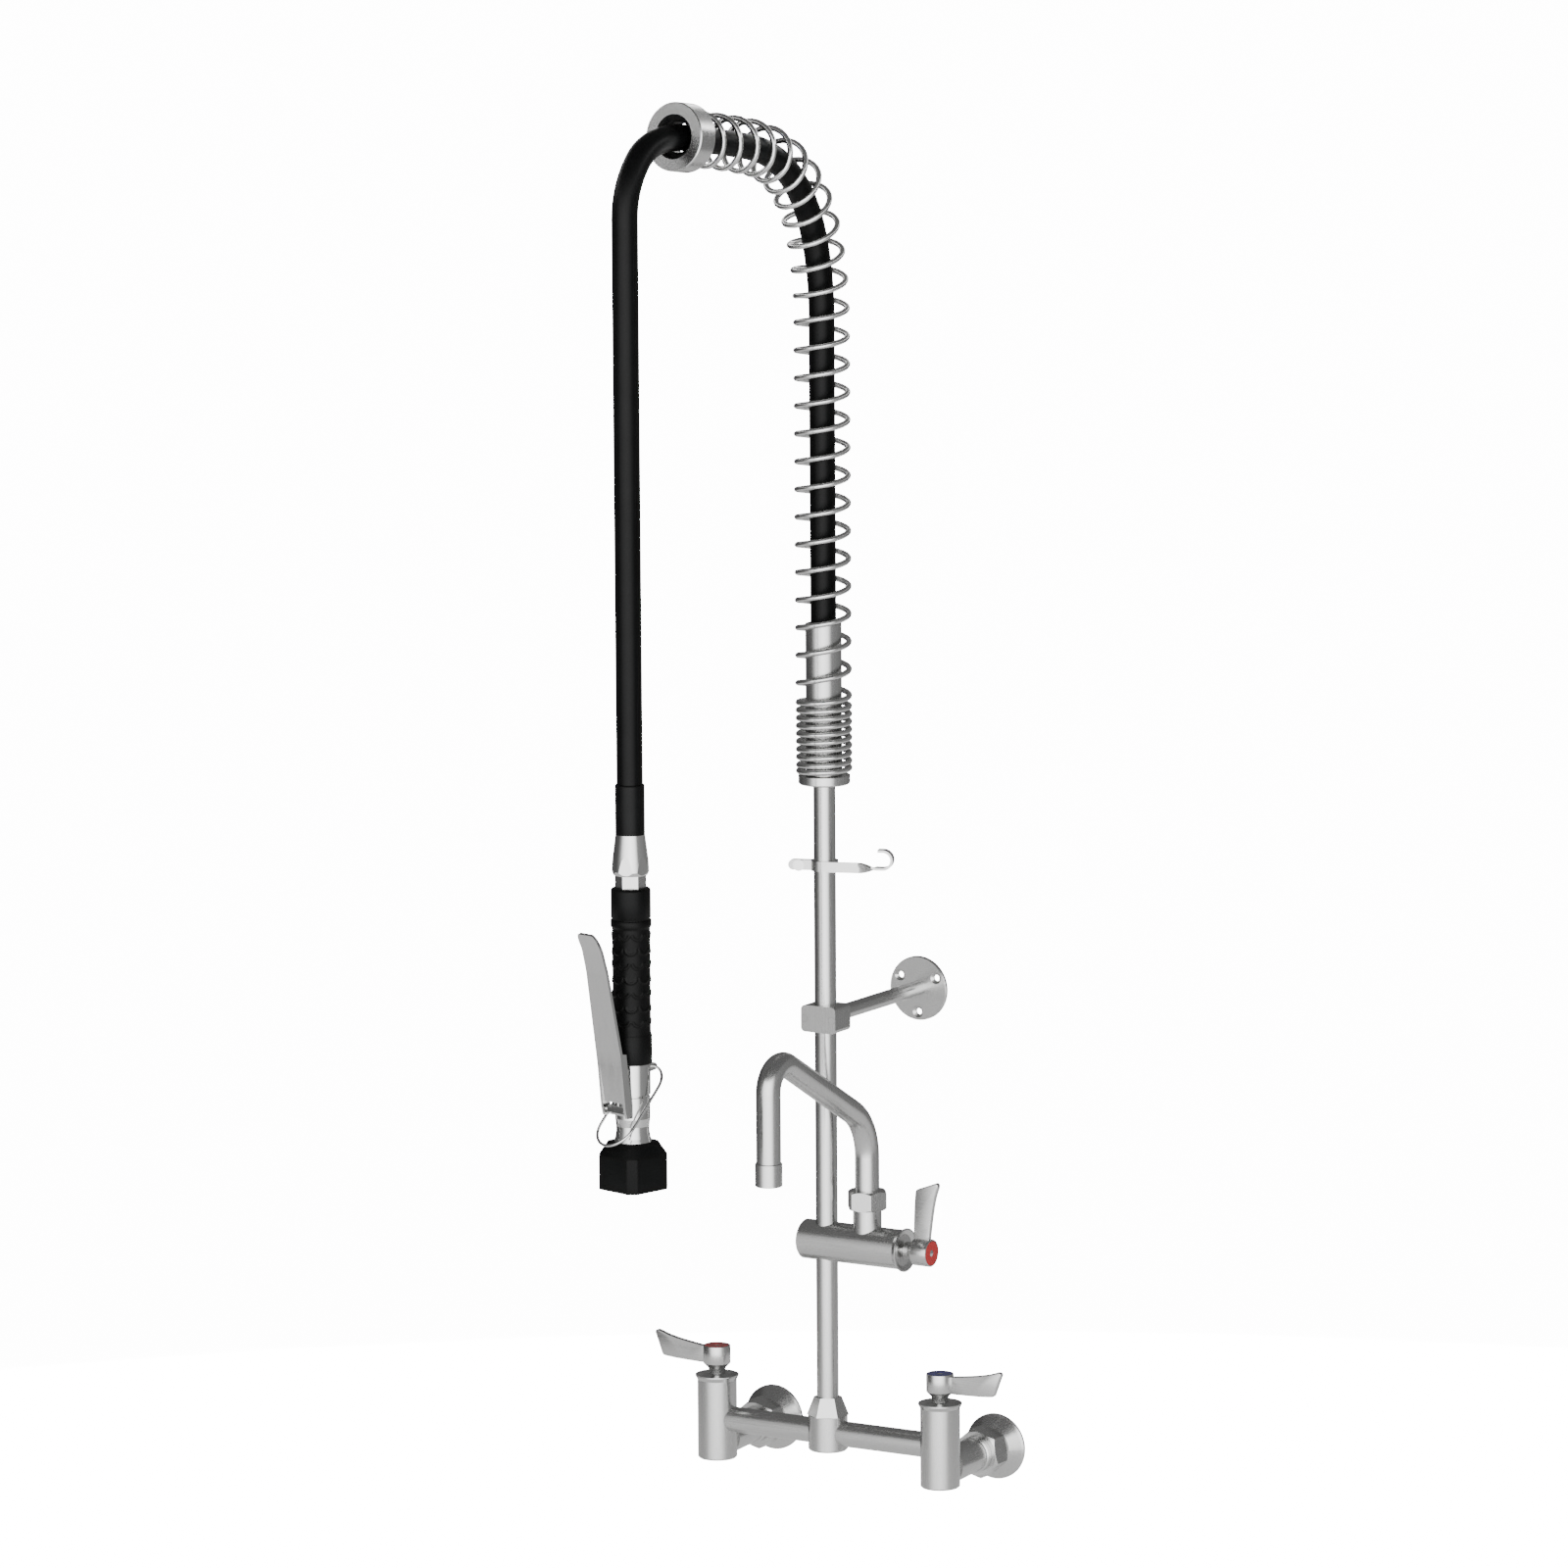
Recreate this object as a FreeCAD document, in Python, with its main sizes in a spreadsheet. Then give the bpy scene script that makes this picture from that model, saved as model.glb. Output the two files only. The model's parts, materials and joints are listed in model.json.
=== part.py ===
"""Wall-mounted pre-rinse faucet with an add-on spout, as a parametric FreeCAD assembly.

Millimetres. +X runs from the hot inlet to the cold inlet, +Y points at the wall, +Z is up.
The origin is on the wall face of the inlet flanges, midway between the two inlet axes.
"""
import FreeCAD, Part
import math
import os
import re
import Sketcher

V = FreeCAD.Vector
UP, TO_WALL, TO_COLD = V(0, 0, 1), V(0, 1, 0), V(1, 0, 0)

SIZES = {
    # base faucet
    "valve_x": 101.6,           # half of the 8 in inlet spacing
    "wall_reach": 87.0,         # wall face to the valve axes
    "valve_r": 15.5,
    "valve_low": -15.0,
    "valve_top": 48.0,
    "bore_r": 9.0,
    "way_r": 7.0,
    "bar_z": 17.0,
    "bar_r": 10.0,
    "bar_bore_r": 7.5,
    "rim_r": 17.1,
    "rim_top": 52.0,
    "stem_r": 4.0,
    # inlets
    "flange_r": 26.0,
    "thread_r": 9.3,
    "thread_long": 15.0,
    "nut_flats": 35.0,
    "nut_long": 18.0,
    "arm_root_r": 14.5,
    "arm_end_r": 12.0,
    # riser
    "pipe_r": 8.55,
    "pipe_bore_r": 6.25,
    "tee_low": 3.0,
    "tee_top": 31.0,
    "cone_top": 45.5,
    "riser_top": 538.0,
    "slip": 0.05,
    # lever handles, about the stem axis, from the hub's top face
    "hub_r": 10.75,
    "neck_r": 6.7,
    "hub_top": 75.3,
    "blade_thick": 4.5,
    # add-on faucet
    "addon_z": 169.5,
    "addon_left": 20.0,
    "addon_face": 67.5,
    "spout_x": 36.8,
    "socket_r": 11.2,
    "spout_nut_low": 198.6,
    "spout_nut_high": 14.9,
    "spout_nut_flats": 28.0,
    "spout_r": 9.5,
    "spout_bore_r": 8.0,
    "spout_reach": 146.0,
    "spout_end": 243.0,
    "tip_r": 10.5,
    "tip_long": 18.0,
    # wall bracket
    "bracket_z": 346.5,
    "clamp_wide": 31.0,
    "clamp_high": 21.0,
    "clamp_half": 11.5,
    "rod_r": 6.0,
    "plate_r": 25.5,
    "plate_thick": 3.0,
    "plate_face": 53.7,         # front of the plate, behind the inlets' wall plane
    "plate_hole_r": 2.5,
    "plate_circle_r": 18.8,
    # finger hook
    "hook_z": 466.5,
    "strap_high": 8.0,
    "strap_thick": 2.0,
    # spring and hose
    "base_r": 20.0,
    "base_low": 530.4,
    "base_high": 7.0,
    "sleeve_r": 14.0,
    "sleeve_bore_r": 11.0,
    "sleeve_top": 655.5,
    "hose_r": 10.0,
    "hose_low": 548.0,
    "spring_r": 22.0,
    "spring_wall": 0.8,          # holds as much steel as the 4 mm wire does
    "ring_r": 26.2,
    "ring_bore_r": 17.0,
    "ring_long": 18.5,
    "arch_yaw": -5.0,
    "drop_reach": 248.0,
    "drop_low": 564.0,
    # spray valve, heights on its own vertical axis
    "spray_yaw": -14.5,
    "crimp_r": 11.2,
    "crimp_low": 526.0,
    "coupling_low": 495.0,
    "coupling_flats": 26.5,
    "grip_top": 485.0,
    "grip_low": 350.4,
    "grip_r": 15.2,
    "grip_waist_r": 14.6,
    "core_r": 9.0,
    "core_bore_r": 6.0,
    "body_r": 13.8,
    "body_waist_r": 12.6,
    "skirt_r": 16.4,
    "body_low": 280.0,
    "lever_wide": 27.0,
    "lever_tip": 20.0,
    "lever_thick": 2.4,
    "plunger_z": 336.0,
    "plunger_r": 3.2,
    "pivot_u": 15.5,
    "pivot_z": 316.0,
    "pivot_r": 1.6,
    "ring_wire_r": 1.1,
    "ring_hinge_u": 22.0,
    "ring_hinge_z": 345.0,
    "guard_side": 42.3,
    "guard_corner": 5.8,
    "guard_low": 253.5,
    "guard_shoulder": 280.0,
    "guard_top": 290.5,
    "guard_wall": 4.5,
}

doc = FreeCAD.newDocument("pre_rinse_faucet")
sheet = doc.addObject("Spreadsheet::Sheet", "Sizes")
for row, (alias, value) in enumerate(SIZES.items(), start=1):
    sheet.set("A%d" % row, alias)
    sheet.set("B%d" % row, str(value))
    sheet.setAlias("B%d" % row, alias)
doc.recompute()
parts = {}


def size(alias):
    """The number that the sheet holds under an alias."""
    return float(sheet.get(alias))


def bound(expression):
    """An expression whose words are all aliases, written so that it reads the sheet."""
    return re.sub(r"[a-z_]+", lambda word: "Sizes." + word.group(), str(expression))


def place(x=0.0, y=0.0, z=0.0, towards=UP, yaw=0.0):
    """A placement that turns local +Z to a direction, after a yaw about local +Z."""
    turn = FreeCAD.Rotation(UP, towards).multiply(FreeCAD.Rotation(UP, yaw))
    return FreeCAD.Placement(V(x, y, z), turn)


def keep(label, item):
    """Register a finished sub-part under its node name."""
    item.Label = label
    parts[label] = item
    return item


def primitive(kind, where, **sizes):
    item = doc.addObject("Part::" + kind, kind)
    for name, expression in sizes.items():
        item.setExpression(name, bound(expression))
    item.Placement = where
    return item


def cylinder(where, radius, height):
    return primitive("Cylinder", where, Radius=radius, Height=height)


def box(where, length, width, height):
    return primitive("Box", where, Length=length, Width=width, Height=height)


def hexagon(where, flats, height):
    nut = primitive("Prism", where, Circumradius="(%s) / 1.7320508" % flats, Height=height)
    nut.Polygon = 6
    return nut


def cut(base, *tools):
    for tool in tools:
        result = doc.addObject("Part::Cut", "Cut")
        result.Base, result.Tool = base, tool
        base = result
    return base


def fuse(*shapes):
    result = doc.addObject("Part::MultiFuse", "Fuse")
    result.Shapes = list(shapes)
    return result


def group(*shapes):
    result = doc.addObject("Part::Compound", "Group")
    result.Links = list(shapes)
    return result


def common(first, second):
    result = doc.addObject("Part::MultiCommon", "Common")
    result.Shapes = [first, second]
    return result


def outline(body, plane, corners):
    """A closed sketch of straight lines whose corners are bound to the sheet."""
    sketch = body.newObject("Sketcher::SketchObject", "Outline")
    sketch.AttachmentSupport = (next(item for item in body.Origin.OriginFeatures
                                     if item.Role == plane), [""])
    sketch.MapMode = "FlatFace"
    count = len(corners)
    rough = [V(math.cos(2 * math.pi * i / count) + 2, math.sin(2 * math.pi * i / count), 0)
             for i in range(count)]
    for i in range(count):
        sketch.addGeometry(Part.LineSegment(rough[i], rough[(i + 1) % count]), False)
    for i in range(count):
        sketch.addConstraint(Sketcher.Constraint("Coincident", i, 2, (i + 1) % count, 1))
    for i, corner in enumerate(corners):
        for kind, rough_value, expression in zip(("DistanceX", "DistanceY"), rough[i], corner):
            index = sketch.addConstraint(Sketcher.Constraint(kind, -1, 1, i, 1, rough_value))
            sketch.setExpression("Constraints[%d]" % index, bound(expression))
    return sketch


def turned(corners, where=None):
    """A body turned about local +Z from (radius, height) corners."""
    body = doc.addObject("PartDesign::Body", "Turned")
    sketch = outline(body, "XZ_Plane", corners)
    turn = body.newObject("PartDesign::Revolution", "Turn")
    turn.Profile = sketch
    turn.ReferenceAxis = (sketch, ["V_Axis"])
    turn.Angle = 360
    body.Placement = where or place()
    return body


def padded(corners, thickness, where=None, plane="XZ_Plane"):
    """A body padded both ways from an outline on one of its own planes."""
    body = doc.addObject("PartDesign::Body", "Padded")
    pad = body.newObject("PartDesign::Pad", "Pad")
    pad.Profile = outline(body, plane, corners)
    pad.setExpression("Length", bound(thickness))
    pad.SideType = "Symmetric"
    body.Placement = where or place()
    return body


def shaped(shape, where=None):
    """A feature whose shape Part's own functions made."""
    item = doc.addObject("Part::Feature", "Shaped")
    item.Shape = shape
    item.Placement = where or place()
    return item


def route(points, bends):
    """Straight runs through points, joined by tangent arcs of the given radii."""
    edges, start = [], points[0]
    for before, corner, after, radius in zip(points, points[1:], points[2:], bends):
        back = (before - corner).normalize()
        on = (after - corner).normalize()
        half_turn = (math.pi - back.getAngle(on)) / 2
        reach = radius * math.tan(half_turn)
        first, last = corner + back * reach, corner + on * reach
        inward = (back + on).normalize()
        middle = corner + inward * (radius / math.cos(half_turn) - radius)
        edges += [Part.LineSegment(start, first).toShape(),
                  Part.Arc(first, middle, last).toShape()]
        start = last
    edges.append(Part.LineSegment(start, points[-1]).toShape())
    return Part.Wire(edges)


def swept(path, radius):
    """A round bar along a route."""
    start, along = path.Edges[0].valueAt(0), path.Edges[0].tangentAt(0)
    ring = Part.Wire([Part.Circle(start, along, radius).toShape()])
    return path.makePipeShell([ring], True, False)


YV = -size("wall_reach")
VX = size("valve_x")
SIDES = (("left", -VX, 180.0), ("right", VX, 0.0))

# ---------------------------------------------------------------- base faucet


def valve_body(side, x):
    inward = V(-x, 0, 0).normalize()
    shell = turned([("0", "valve_low"), ("valve_r - 1.2", "valve_low"), ("valve_r", "valve_low + 1.2"),
                    ("valve_r", "valve_top"), ("bore_r", "valve_top"), ("bore_r", "valve_low + 5"),
                    ("0", "valve_low + 5")], place(x, YV))
    outlet = cylinder(place(x, YV, size("bar_z"), inward), "way_r", "valve_r + 5")
    inlet = cylinder(place(x, YV, 0, TO_WALL), "way_r", "valve_r + 5")
    keep("valve_body_" + side, cut(shell, outlet, inlet))


union_nuts = []


def inlet(side, x):
    arm = turned([("way_r", "10"), ("arm_root_r", "10"), ("arm_root_r", "20"), ("arm_end_r + 1", "50"),
                  ("arm_end_r + 2.2", "50.6"), ("arm_end_r + 2.2", "54.8"), ("arm_end_r", "54.8"),
                  ("arm_end_r", "wall_reach - 27"), ("way_r", "wall_reach - 27")],
                 place(x, YV, 0, TO_WALL))
    body_gap = cylinder(place(x, YV, -40), "valve_r + slip", "100")
    keep("inlet_arm_" + side, cut(arm, body_gap))
    nut_y = -size("nut_long") - 14
    blank = hexagon(place(x, nut_y, 0, TO_WALL, 20), "nut_flats", "nut_long")
    dome = turned([("arm_end_r + slip", "0"), ("nut_flats / 2", "0"), ("nut_flats / 1.75", "1.8"),
                   ("nut_flats / 1.75", "nut_long - 1.8"), ("nut_flats / 2", "nut_long"),
                   ("arm_end_r + slip", "nut_long")], place(x, nut_y, 0, TO_WALL))
    union_nuts.append(common(blank, dome))
    keep("inlet_flange_" + side,
         turned([("way_r", "-27"), ("arm_end_r", "-27"), ("arm_end_r", "-14"), ("arm_end_r + 3", "-13.6"),
                 ("arm_end_r + 5.2", "-10.6"), ("flange_r - 1.4", "-3.2"), ("flange_r", "-2"),
                 ("flange_r", "0"), ("thread_r", "0"), ("thread_r", "-thread_long"),
                 ("way_r", "-thread_long")], place(x, 0, 0, TO_WALL)))


def cross_bar(side, x):
    towards = V(x, 0, 0).normalize()
    tube = cylinder(place(0, YV, size("bar_z"), towards), "bar_r", "valve_x")
    bore = cylinder(place(0, YV, size("bar_z"), towards), "bar_bore_r", "valve_x")
    gaps = [cylinder(place(gap_x, YV, -40), "valve_r + slip", "100") for gap_x in (0, x)]
    keep("cross_bar_" + side, cut(tube, bore, *gaps))


for side, x, _ in SIDES:
    valve_body(side, x)
    inlet(side, x)
    cross_bar(side, x)
keep("union_nuts", group(*union_nuts))

tee = turned([("0", "tee_low"), ("valve_r - 1.2", "tee_low"), ("valve_r", "tee_low + 1.2"),
              ("valve_r", "tee_top"), ("pipe_r + slip", "tee_top"), ("pipe_r + slip", "tee_low + 9"),
              ("pipe_bore_r", "tee_low + 9"), ("pipe_bore_r", "tee_low + 4"), ("0", "tee_low + 4")],
             place(0, YV))
tee_way = cylinder(place(-25, YV, size("bar_z"), TO_COLD), "way_r", "50")
keep("tee", cut(tee, tee_way))


def six_sided(radius, height):
    return Part.makePolygon([V(radius * math.cos(math.radians(60 * i + 28)),
                               radius * math.sin(math.radians(60 * i + 28)), height)
                             for i in range(7)])


cone = Part.makeLoft([six_sided(16.6, size("tee_top")), six_sided(10.9, size("cone_top"))], True)
cone_bore = cylinder(place(0, YV, 20), "pipe_r + slip", "50")
keep("riser_nut", cut(shaped(cone, place(0, YV)), cone_bore))


def pipe(label, low, high):
    keep(label, turned([("pipe_bore_r", low), ("pipe_r", low), ("pipe_r", high),
                        ("pipe_bore_r", high)], place(0, YV)))


pipe("riser_lower", "tee_low + 9", "addon_z - 7")
pipe("riser_upper", "addon_z + 7", "riser_top")

# ---------------------------------------------------------------- valve insides and handles


def bonnet(where):
    """The flared rim that holds the cartridge down, with the stem's guide in its middle."""
    return turned([("stem_r + slip", "valve_top"), ("valve_r", "valve_top"), ("rim_r", "rim_top - 1"),
                   ("rim_r", "rim_top"), ("rim_r - 1.3", "rim_top"), ("valve_r - 3", "valve_top + 2"),
                   ("stem_r + slip", "valve_top + 2")], where)


def cartridge(where):
    return turned([("stem_r + slip", "valve_top - 20"), ("bore_r", "valve_top - 20"),
                   ("bore_r", "valve_top"), ("stem_r + slip", "valve_top")], where)


def handle(side, where):
    """One lever handle with its stem, index disc and screw; the blade points along local +X."""
    stem = turned([("0", "valve_top - 24"), ("stem_r", "valve_top - 24"), ("stem_r", "hub_top - 10"),
                   ("1.65", "hub_top - 10"), ("1.65", "hub_top - 17"), ("0", "hub_top - 17")], where)
    hub = turned([("stem_r", "rim_top"), ("neck_r", "rim_top"), ("neck_r", "rim_top + 5"),
                  ("hub_r", "rim_top + 9"), ("hub_r", "hub_top - 0.4"), ("hub_r - 0.4", "hub_top"),
                  ("hub_r - 1.1", "hub_top"), ("hub_r - 1.1", "hub_top - 1.6"),
                  ("1.7", "hub_top - 1.6"), ("1.7", "hub_top - 10"), ("stem_r", "hub_top - 10")], where)
    blade = padded([("hub_r - 1.6", "hub_top - 1.5"), ("13", "hub_top - 1.2"), ("28", "hub_top + 0.8"),
                    ("44", "hub_top + 3.8"), ("52", "hub_top + 6.6"), ("55.2", "hub_top + 6.2"),
                    ("56", "hub_top + 4.6"), ("49.5", "hub_top - 12.4"), ("46.5", "hub_top - 13.6"),
                    ("28", "hub_top - 14.8"), ("hub_r - 1.6", "hub_top - 15.2")], "blade_thick", where)
    keep("stem_" + side, stem)
    keep("handle_" + side, fuse(hub, blade))
    keep("index_disc_" + side, turned([("2.7", "hub_top - 1.6"), ("hub_r - 1.2", "hub_top - 1.6"),
                                       ("hub_r - 1.2", "hub_top - 0.3"), ("hub_r - 1.5", "hub_top"),
                                       ("2.7", "hub_top")], where))
    keep("handle_screw_" + side, turned([("0", "hub_top - 16"), ("1.6", "hub_top - 16"),
                                         ("1.6", "hub_top - 1.6"), ("2.6", "hub_top - 1.6"),
                                         ("2.6", "hub_top - 0.2"), ("0", "hub_top + 0.4")], where))


ADDON_SHIFT = size("addon_face") - size("valve_top")
addon_where = FreeCAD.Placement(V(ADDON_SHIFT, YV, size("addon_z")),
                                FreeCAD.Rotation(UP, V(0, -1, 0), TO_COLD, "ZXY"))
valve_places = {side: place(x, YV, 0, UP, yaw) for side, x, yaw in SIDES}
valve_places["addon"] = addon_where
keep("bonnets", group(*[bonnet(where) for where in valve_places.values()]))
keep("cartridges", group(*[cartridge(where) for where in valve_places.values()]))
for side, where in valve_places.items():
    handle(side, where)

# ---------------------------------------------------------------- add-on faucet and spout
addon_axis = place(-size("addon_left"), YV, size("addon_z"), TO_COLD)
barrel = turned([("0", "0"), ("valve_r - 1.2", "0"), ("valve_r", "1.2"), ("valve_r", "addon_left + addon_face"),
                 ("bore_r", "addon_left + addon_face"), ("bore_r", "addon_left + addon_face - 30"),
                 ("way_r - 1", "addon_left + addon_face - 30"), ("way_r - 1", "addon_left"),
                 ("0", "addon_left")], addon_axis)
socket = cylinder(place(size("spout_x"), YV, size("addon_z")), "socket_r", "spout_nut_low - addon_z")
riser_way = cylinder(place(0, YV, size("addon_z") - 25), "pipe_r + slip", "50")
spout_way = cylinder(place(size("spout_x"), YV, size("addon_z")), "way_r", "40")
barrel_way = cylinder(place(0, YV, size("addon_z"), TO_COLD), "bore_r", "20")
inner_way = cylinder(place(0, YV, size("addon_z"), TO_COLD), "way_r - 1", "50")
stop_gap = cylinder(place(size("addon_face") - 30, YV, size("addon_z"), TO_COLD), "bore_r", "29")
keep("addon_body", cut(fuse(barrel, socket), riser_way, spout_way, barrel_way, inner_way, stop_gap))

spout_nut = hexagon(place(size("spout_x"), YV, size("spout_nut_low"), UP, 10),
                    "spout_nut_flats", "spout_nut_high")
spout_nut_dome = turned([("spout_r + slip", "0"), ("spout_nut_flats / 2", "0"),
                         ("spout_nut_flats / 1.75", "1.5"),
                         ("spout_nut_flats / 1.75", "spout_nut_high - 1.5"),
                         ("spout_nut_flats / 2", "spout_nut_high"), ("spout_r + slip", "spout_nut_high")],
                        place(size("spout_x"), YV, size("spout_nut_low")))
keep("spout_nut", common(spout_nut, spout_nut_dome))
keep("spout_seal", turned([("way_r", "0"), ("spout_r", "0"), ("spout_r", "3"), ("way_r", "3")],
                          place(size("spout_x"), YV, size("spout_nut_low"))))

FOOT = size("spout_nut_low") + 3.2
spout_path = route([V(0, 0, FOOT), V(0, 0, 267), V(0, -size("spout_reach"), 347.3),
                    V(0, -size("spout_reach"), size("spout_end") + 2)], (45.0, 19.0))
spout = swept(spout_path, size("spout_r")).cut(swept(spout_path, size("spout_bore_r")))
keep("spout_tube", shaped(spout, place(size("spout_x"), YV)))
keep("spout_tip", turned([("7", "0"), ("tip_r - 0.5", "0"), ("tip_r", "0.5"), ("tip_r", "tip_long - 0.5"),
                          ("tip_r - 0.5", "tip_long"), ("spout_r", "tip_long"), ("spout_r", "2"), ("7", "2")],
                         place(size("spout_x"), YV - size("spout_reach"), size("spout_end"))))

# ---------------------------------------------------------------- wall bracket


def clamp_block(label, y, gap_from_axis):
    block = box(place(-size("clamp_wide") / 2, y, size("bracket_z") - size("clamp_high") / 2),
                "clamp_wide", "clamp_half", "clamp_high")
    softened = doc.addObject("Part::Fillet", "Softened")
    softened.Base = block
    doc.recompute()
    across = [i for i, edge in enumerate(block.Shape.Edges, start=1)
              if abs(edge.tangentAt(edge.FirstParameter).y) > 0.9]
    softened.Edges = [(i, 3.5, 3.5) for i in across]
    riser = cylinder(place(0, YV, size("bracket_z") - 20), "pipe_r", "40")
    screws = [cylinder(place(sx, YV - 14, size("bracket_z"), TO_WALL), gap_from_axis, "30")
              for sx in (-12.2, 12.2)]
    return cut(softened, riser, *screws)


front = clamp_block("clamp_front", YV - size("clamp_half"), "2.05")
heads = [cylinder(place(sx, YV - size("clamp_half") - 1, size("bracket_z"), TO_WALL), "2.9", "3.2")
         for sx in (-12.2, 12.2)]
keep("clamp_front", cut(front, *heads))
back = clamp_block("clamp_back", YV, "2.0")
rod_seat = cylinder(place(0, YV + 9, size("bracket_z"), TO_WALL), "rod_r", "10")
keep("clamp_back", cut(back, rod_seat))


def clamp_screw(x):
    return turned([("0", "0"), ("2.8", "0"), ("2.8", "2.2"), ("2", "2.2"), ("2", "20"), ("0", "20")],
                  place(x, YV - size("clamp_half"), size("bracket_z"), TO_WALL))


keep("clamp_screws", fuse(clamp_screw(-12.2), clamp_screw(12.2)))
keep("bracket_rod", turned([("0", "0"), ("rod_r - 0.8", "0"), ("rod_r", "0.8"),
                            ("rod_r", "wall_reach + plate_face - 9"), ("0", "wall_reach + plate_face - 9")],
                           place(0, YV + 9, size("bracket_z"), TO_WALL)))
plate = turned([("0", "0"), ("plate_r - 0.6", "0"), ("plate_r", "0.6"), ("plate_r", "plate_thick"),
                ("0", "plate_thick")], place(0, size("plate_face"), size("bracket_z"), TO_WALL))
countersinks = []
for angle in (30, 150, 270):
    spot = V(size("plate_circle_r") * math.cos(math.radians(angle)), size("plate_face") - 1,
             size("bracket_z") + size("plate_circle_r") * math.sin(math.radians(angle)))
    countersinks.append(turned([("0", "0"), ("plate_hole_r + 2.2", "0"), ("plate_hole_r + 2.2", "1"),
                                ("plate_hole_r", "2.6"), ("plate_hole_r", "plate_thick + 2"),
                                ("0", "plate_thick + 2")], place(spot.x, spot.y, spot.z, TO_WALL)))
keep("bracket_plate", cut(plate, *countersinks))

# ---------------------------------------------------------------- finger hook
HOOK_YAW = 20.0


def strap(points, low, high):
    """A flat strip that follows points in plan, standing between two heights."""
    half = size("strap_thick") / 2
    path = route([V(px, py, 0) for px, py in points], [4.0] * (len(points) - 2))
    side = [path.makeOffset2D(offset, 0, False, True) for offset in (half, -half)]
    ends = [Part.LineSegment(side[0].OrderedVertexes[i].Point,
                             side[1].OrderedVertexes[i].Point).toShape() for i in (0, -1)]
    loop = Part.Wire(Part.__sortEdges__(side[0].Edges + side[1].Edges + ends))
    strip = Part.Face(loop).extrude(V(0, 0, high - low))
    strip.translate(V(0, 0, low))
    return strip


def hook():
    """The strap's band round the riser, its two ears, the arm and the curled finger."""
    half_high = size("strap_high") / 2
    inner, outer = size("pipe_r"), size("pipe_r") + size("strap_thick")
    band = Part.makeCylinder(outer, 2 * half_high, V(0, 0, -half_high))
    band = band.cut(Part.makeCylinder(inner, 3 * half_high, V(0, 0, -1.5 * half_high)))
    ears = Part.makeBox(17, 3 * size("strap_thick") - 1, 2 * half_high,
                        V(-24.5, -1.5 * size("strap_thick") + 0.5, -half_high))
    ears = ears.fuse(Part.makeCylinder(half_high, 3 * size("strap_thick") - 1,
                                       V(-24.5 + 0.01, -1.5 * size("strap_thick") + 0.5, 0), TO_WALL))
    slit = Part.makeBox(23, 1, 3 * half_high, V(-29, -0.5, -1.5 * half_high))
    hole = Part.makeCylinder(2.1, 20, V(-19.8, -10, 0), TO_WALL)
    clamp = band.fuse(ears).cut(Part.makeCylinder(inner, 40, V(0, 0, -20))).cut(slit).cut(hole)
    arm = Part.makeBox(28, size("strap_thick"), 2 * half_high, V(0, -outer, -half_high))
    arm = arm.cut(Part.makeCylinder(inner, 40, V(0, 0, -20)))
    middle = V(0, -outer + size("strap_thick") / 2, 0)

    def section(x, angle):
        corners = [V(0, sy * size("strap_thick") / 2, sz * half_high)
                   for sy, sz in ((-1, -1), (1, -1), (1, 1), (-1, 1), (-1, -1))]
        turn = FreeCAD.Rotation(V(1, 0, 0), angle)
        return Part.makePolygon([turn.multVec(corner) + middle + V(x, 0, 0) for corner in corners])
    twist = Part.makeLoft([section(28 + 3.5 * i, 22.5 * i) for i in range(5)], True)
    curl_r = 7.0
    rail = Part.Wire([Part.LineSegment(middle + V(42, 0, 0), middle + V(48, 0, 0)).toShape(),
                      Part.Arc(middle + V(48, 0, 0), middle + V(48 + curl_r, 0, curl_r),
                               middle + V(48, 0, 2 * curl_r)).toShape(),
                      Part.LineSegment(middle + V(48, 0, 2 * curl_r),
                                       middle + V(44, 0, 2 * curl_r)).toShape()])
    curl = rail.makePipeShell([section(42, 90)], True, True)
    return clamp.fuse([arm, twist, curl]).removeSplitter()


hook_where = place(0, YV, size("hook_z"), UP, HOOK_YAW)
keep("finger_hook", shaped(hook(), hook_where))
hook_screw_spot = hook_where.multVec(V(-19.8, -4.9, 0))
hook_across = hook_where.Rotation.multVec(TO_WALL)
keep("hook_screw", turned([("0", "0"), ("4.5", "0"), ("4.5", "2.4"), ("2", "2.4"), ("2", "11"), ("0", "11")],
                          place(*hook_screw_spot, hook_across)))

# ---------------------------------------------------------------- spring, sleeve, hose and top ring
keep("spring_base", turned([("pipe_r", "base_low"), ("base_r - 1", "base_low"), ("base_r", "base_low + 1"),
                            ("base_r", "base_low + base_high"), ("pipe_r", "base_low + base_high")],
                           place(0, YV)))
keep("spring_sleeve", turned([("sleeve_bore_r", "base_low + base_high + 0.6"),
                              ("sleeve_r", "base_low + base_high + 0.6"),
                              ("sleeve_r", "sleeve_top"), ("sleeve_bore_r", "sleeve_top")], place(0, YV)))
keep("hose_fitting", turned([("pipe_bore_r", "riser_top"), ("sleeve_bore_r", "riser_top"),
                             ("sleeve_bore_r", "hose_low"), ("pipe_bore_r", "hose_low")], place(0, YV)))

# the hose's route in the arch's own plane: (reach from the riser, height)
HOSE_ROUTE = [(0, size("hose_low")), (0, 925), (18, 985), (60, 1025), (125, 1038), (214, 1051),
              (size("drop_reach"), 1014), (size("drop_reach"), size("drop_low"))]
FORWARD = V(math.sin(math.radians(size("arch_yaw"))), -math.cos(math.radians(size("arch_yaw"))), 0)
AXIS = V(0, YV, 0)
hose_points = [AXIS + FORWARD * reach + UP * height for reach, height in HOSE_ROUTE]


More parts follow.
